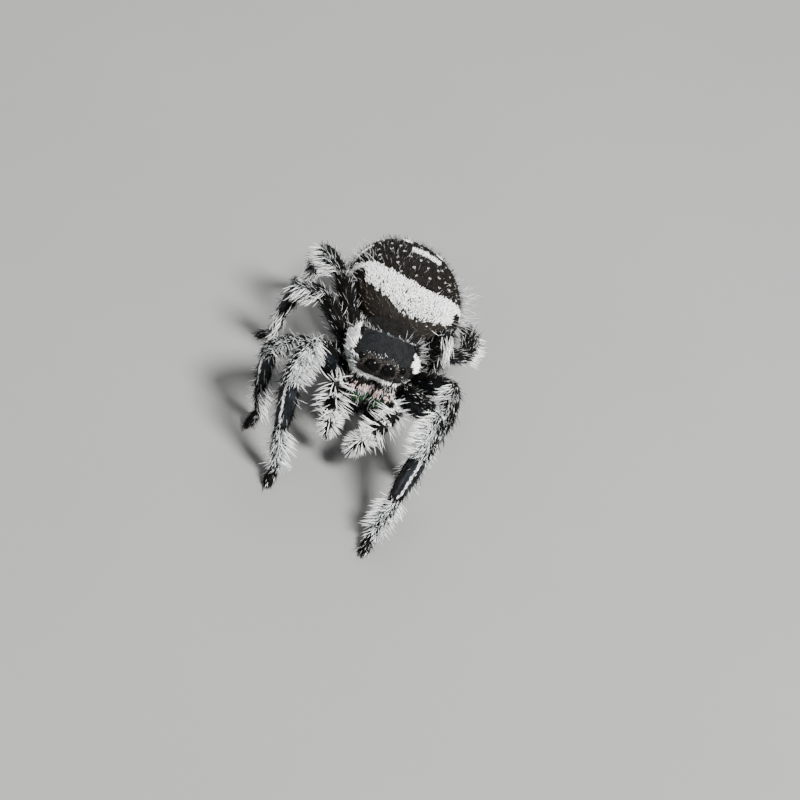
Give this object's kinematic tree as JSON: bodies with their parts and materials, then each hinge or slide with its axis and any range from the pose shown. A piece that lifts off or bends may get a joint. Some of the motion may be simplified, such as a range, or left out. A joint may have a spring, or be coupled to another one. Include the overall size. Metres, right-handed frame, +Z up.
{
  "type": "jumping spider",
  "caption": "Life-size standing jumping spider: furry black and white body, high head with big front eyes, green jaws, wide abdomen with a white band, legs spread on the floor.",
  "frame": {"origin": "on the floor under the centre of the spider's outline", "axes": "+Z up from the floor, the face looks towards -Y, the spider's left side is at +X"},
  "size_m": [0.0122, 0.022, 0.0068],
  "materials": {
    "coat_black": "short black fur over dark horn, a white band and dots on the abdomen",
    "coat_white": "long white fluffy hair over dark horn",
    "jaw_green": "shiny iridescent green horn with pale scales at the top",
    "underside": "short grey-brown hair",
    "horn": "polished dark brown horn",
    "eye": "polished black lens"
  },
  "bodies": {
    "root": {"abdomen": "coat_black", "carapace": "coat_black", "chelicera_left": "jaw_green", "chelicera_right": "jaw_green", "eye_main_left": "eye", "eye_main_right": "eye", "eye_rear_left": "eye", "eye_rear_right": "eye", "eye_side_left": "eye", "eye_side_right": "eye", "eye_small_left": "eye", "eye_small_right": "eye", "fang_left": "horn", "fang_right": "horn", "leg_1_left_femur": "coat_black", "leg_1_left_foot": "coat_white", "leg_1_left_shin": "coat_black", "leg_1_right_femur": "coat_black", "leg_1_right_foot": "coat_white", "leg_1_right_shin": "coat_black", "leg_2_left_femur": "coat_black", "leg_2_left_foot": "coat_white", "leg_2_left_shin": "coat_black", "leg_2_right_femur": "coat_black", "leg_2_right_foot": "coat_white", "leg_2_right_shin": "coat_black", "leg_3_left_femur": "coat_black", "leg_3_left_foot": "coat_white", "leg_3_left_shin": "coat_black", "leg_3_right_femur": "coat_black", "leg_3_right_foot": "coat_white", "leg_3_right_shin": "coat_black", "leg_4_left_femur": "coat_black", "leg_4_left_foot": "coat_white", "leg_4_left_shin": "coat_black", "leg_4_right_femur": "coat_black", "leg_4_right_foot": "coat_white", "leg_4_right_shin": "coat_black", "palp_left_lower": "coat_white", "palp_left_upper": "coat_white", "palp_right_lower": "coat_white", "palp_right_upper": "coat_white", "pedicel": "underside", "spinnerets": "underside", "sternum_and_mouth": "underside"}
  },
  "joints": []
}
